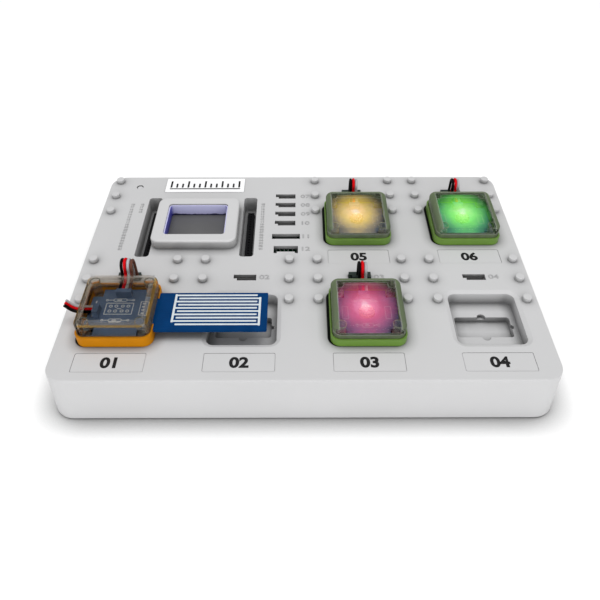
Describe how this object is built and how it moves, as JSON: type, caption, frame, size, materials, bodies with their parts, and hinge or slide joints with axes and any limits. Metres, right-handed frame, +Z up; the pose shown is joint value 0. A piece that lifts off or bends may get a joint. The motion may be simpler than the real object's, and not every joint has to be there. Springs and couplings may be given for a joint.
{
  "type": "coding education board",
  "caption": "Hollow deck with square pockets for clip-in modules, a display, keyed ports, header slots and building studs, with lit modules and a sensing plate plugged in.",
  "frame": {"origin": "bottom centre of the board, on the table under its feet", "axes": "+X to the right along the long side, +Y from the user to the back, +Z up"},
  "size_m": [0.256, 0.174, 0.0459],
  "materials": {
    "cover_plastic": "light grey, finely textured moulding",
    "base_plastic": "light grey moulding, underneath",
    "foot_rubber": "black rubber",
    "screw_steel": "zinc plated steel",
    "board_green": "green solder resist",
    "socket_black": "dark grey moulded insulator",
    "pin_gold": "gold plated pins",
    "bezel_white": "shiny white moulding",
    "lining_blue": "blue inner lining",
    "screen_grey": "dark display glass",
    "usb_metal": "bright tinned shell",
    "chip_black": "black moulded package",
    "label_white": "white film label",
    "switch_black": "black moulding",
    "frame_green": "olive green moulding",
    "frame_orange": "ochre orange moulding",
    "case_black": "black moulding",
    "lid_clear": "clear moulded hood",
    "board_slate": "slate blue circuit board with white print",
    "led_amber": "glowing amber lens",
    "led_green": "glowing green lens",
    "led_pink": "glowing pink lens",
    "plate_blue": "blue sensing plate with bare conductor combs",
    "plug_black": "black moulded plug",
    "lead_black": "black insulation",
    "lead_red": "red insulation",
    "lead_white": "white insulation",
    "lead_brown": "brown insulation"
  },
  "bodies": {
    "board": {"top_cover": "cover_plastic", "bottom_plate": "base_plastic", "rubber_feet": "foot_rubber", "case_screws": "screw_steel", "main_board": "board_green", "board_screws": "screw_steel", "side_sockets": "socket_black", "port_pins": "pin_gold", "header_left": "socket_black", "header_right": "socket_black", "serial_header": "socket_black", "expansion_header": "socket_black", "display_bezel": "bezel_white", "display_lining": "lining_blue", "display_screen": "screen_grey", "display_board": "board_green", "display_header": "socket_black", "usb_socket": "usb_metal", "main_chip": "chip_black", "board_capacitors": "switch_black", "title_label": "label_white", "reset_switch": "switch_black", "port_socket_1": "socket_black", "port_socket_2": "socket_black", "port_socket_3": "socket_black", "port_socket_4": "socket_black", "port_socket_5": "socket_black", "port_socket_6": "socket_black"},
    "reset_button": {"reset_cap": "switch_black", "reset_plunger": "switch_black"},
    "rain_module": {"rain_under_case": "case_black", "rain_frame": "frame_orange", "rain_lid": "lid_clear", "rain_circuit_board": "board_slate", "rain_leads": "lead_black", "rain_plug": "plug_black", "rain_plate": "plate_blue", "rain_tail": "lead_red"},
    "pink_module": {"pink_under_case": "case_black", "pink_frame": "frame_green", "pink_lid": "lid_clear", "pink_circuit_board": "board_slate", "pink_leads": "lead_black", "pink_plug": "plug_black", "pink_led": "led_pink"},
    "amber_module": {"amber_under_case": "case_black", "amber_frame": "frame_green", "amber_lid": "lid_clear", "amber_circuit_board": "board_slate", "amber_leads": "lead_black", "amber_plug": "plug_black", "amber_led": "led_amber"},
    "green_module": {"green_under_case": "case_black", "green_frame": "frame_green", "green_lid": "lid_clear", "green_circuit_board": "board_slate", "green_leads": "lead_black", "green_plug": "plug_black", "green_led": "led_green"}
  },
  "joints": [
    {"name": "rain_lift", "type": "slide", "parent": "board", "child": "rain_module", "axis": [0, 0, 1], "range_m": [0, 0.03]},
    {"name": "pink_lift", "type": "slide", "parent": "board", "child": "pink_module", "axis": [0, 0, 1], "range_m": [0, 0.03]},
    {"name": "amber_lift", "type": "slide", "parent": "board", "child": "amber_module", "axis": [0, 0, 1], "range_m": [0, 0.03]},
    {"name": "green_lift", "type": "slide", "parent": "board", "child": "green_module", "axis": [0, 0, 1], "range_m": [0, 0.03]},
    {"name": "reset_press", "type": "slide", "parent": "board", "child": "reset_button", "axis": [0, 0, -1], "range_m": [0, 0.0005], "stiffness_N_per_m": 400, "springref_m": -0.002}
  ]
}
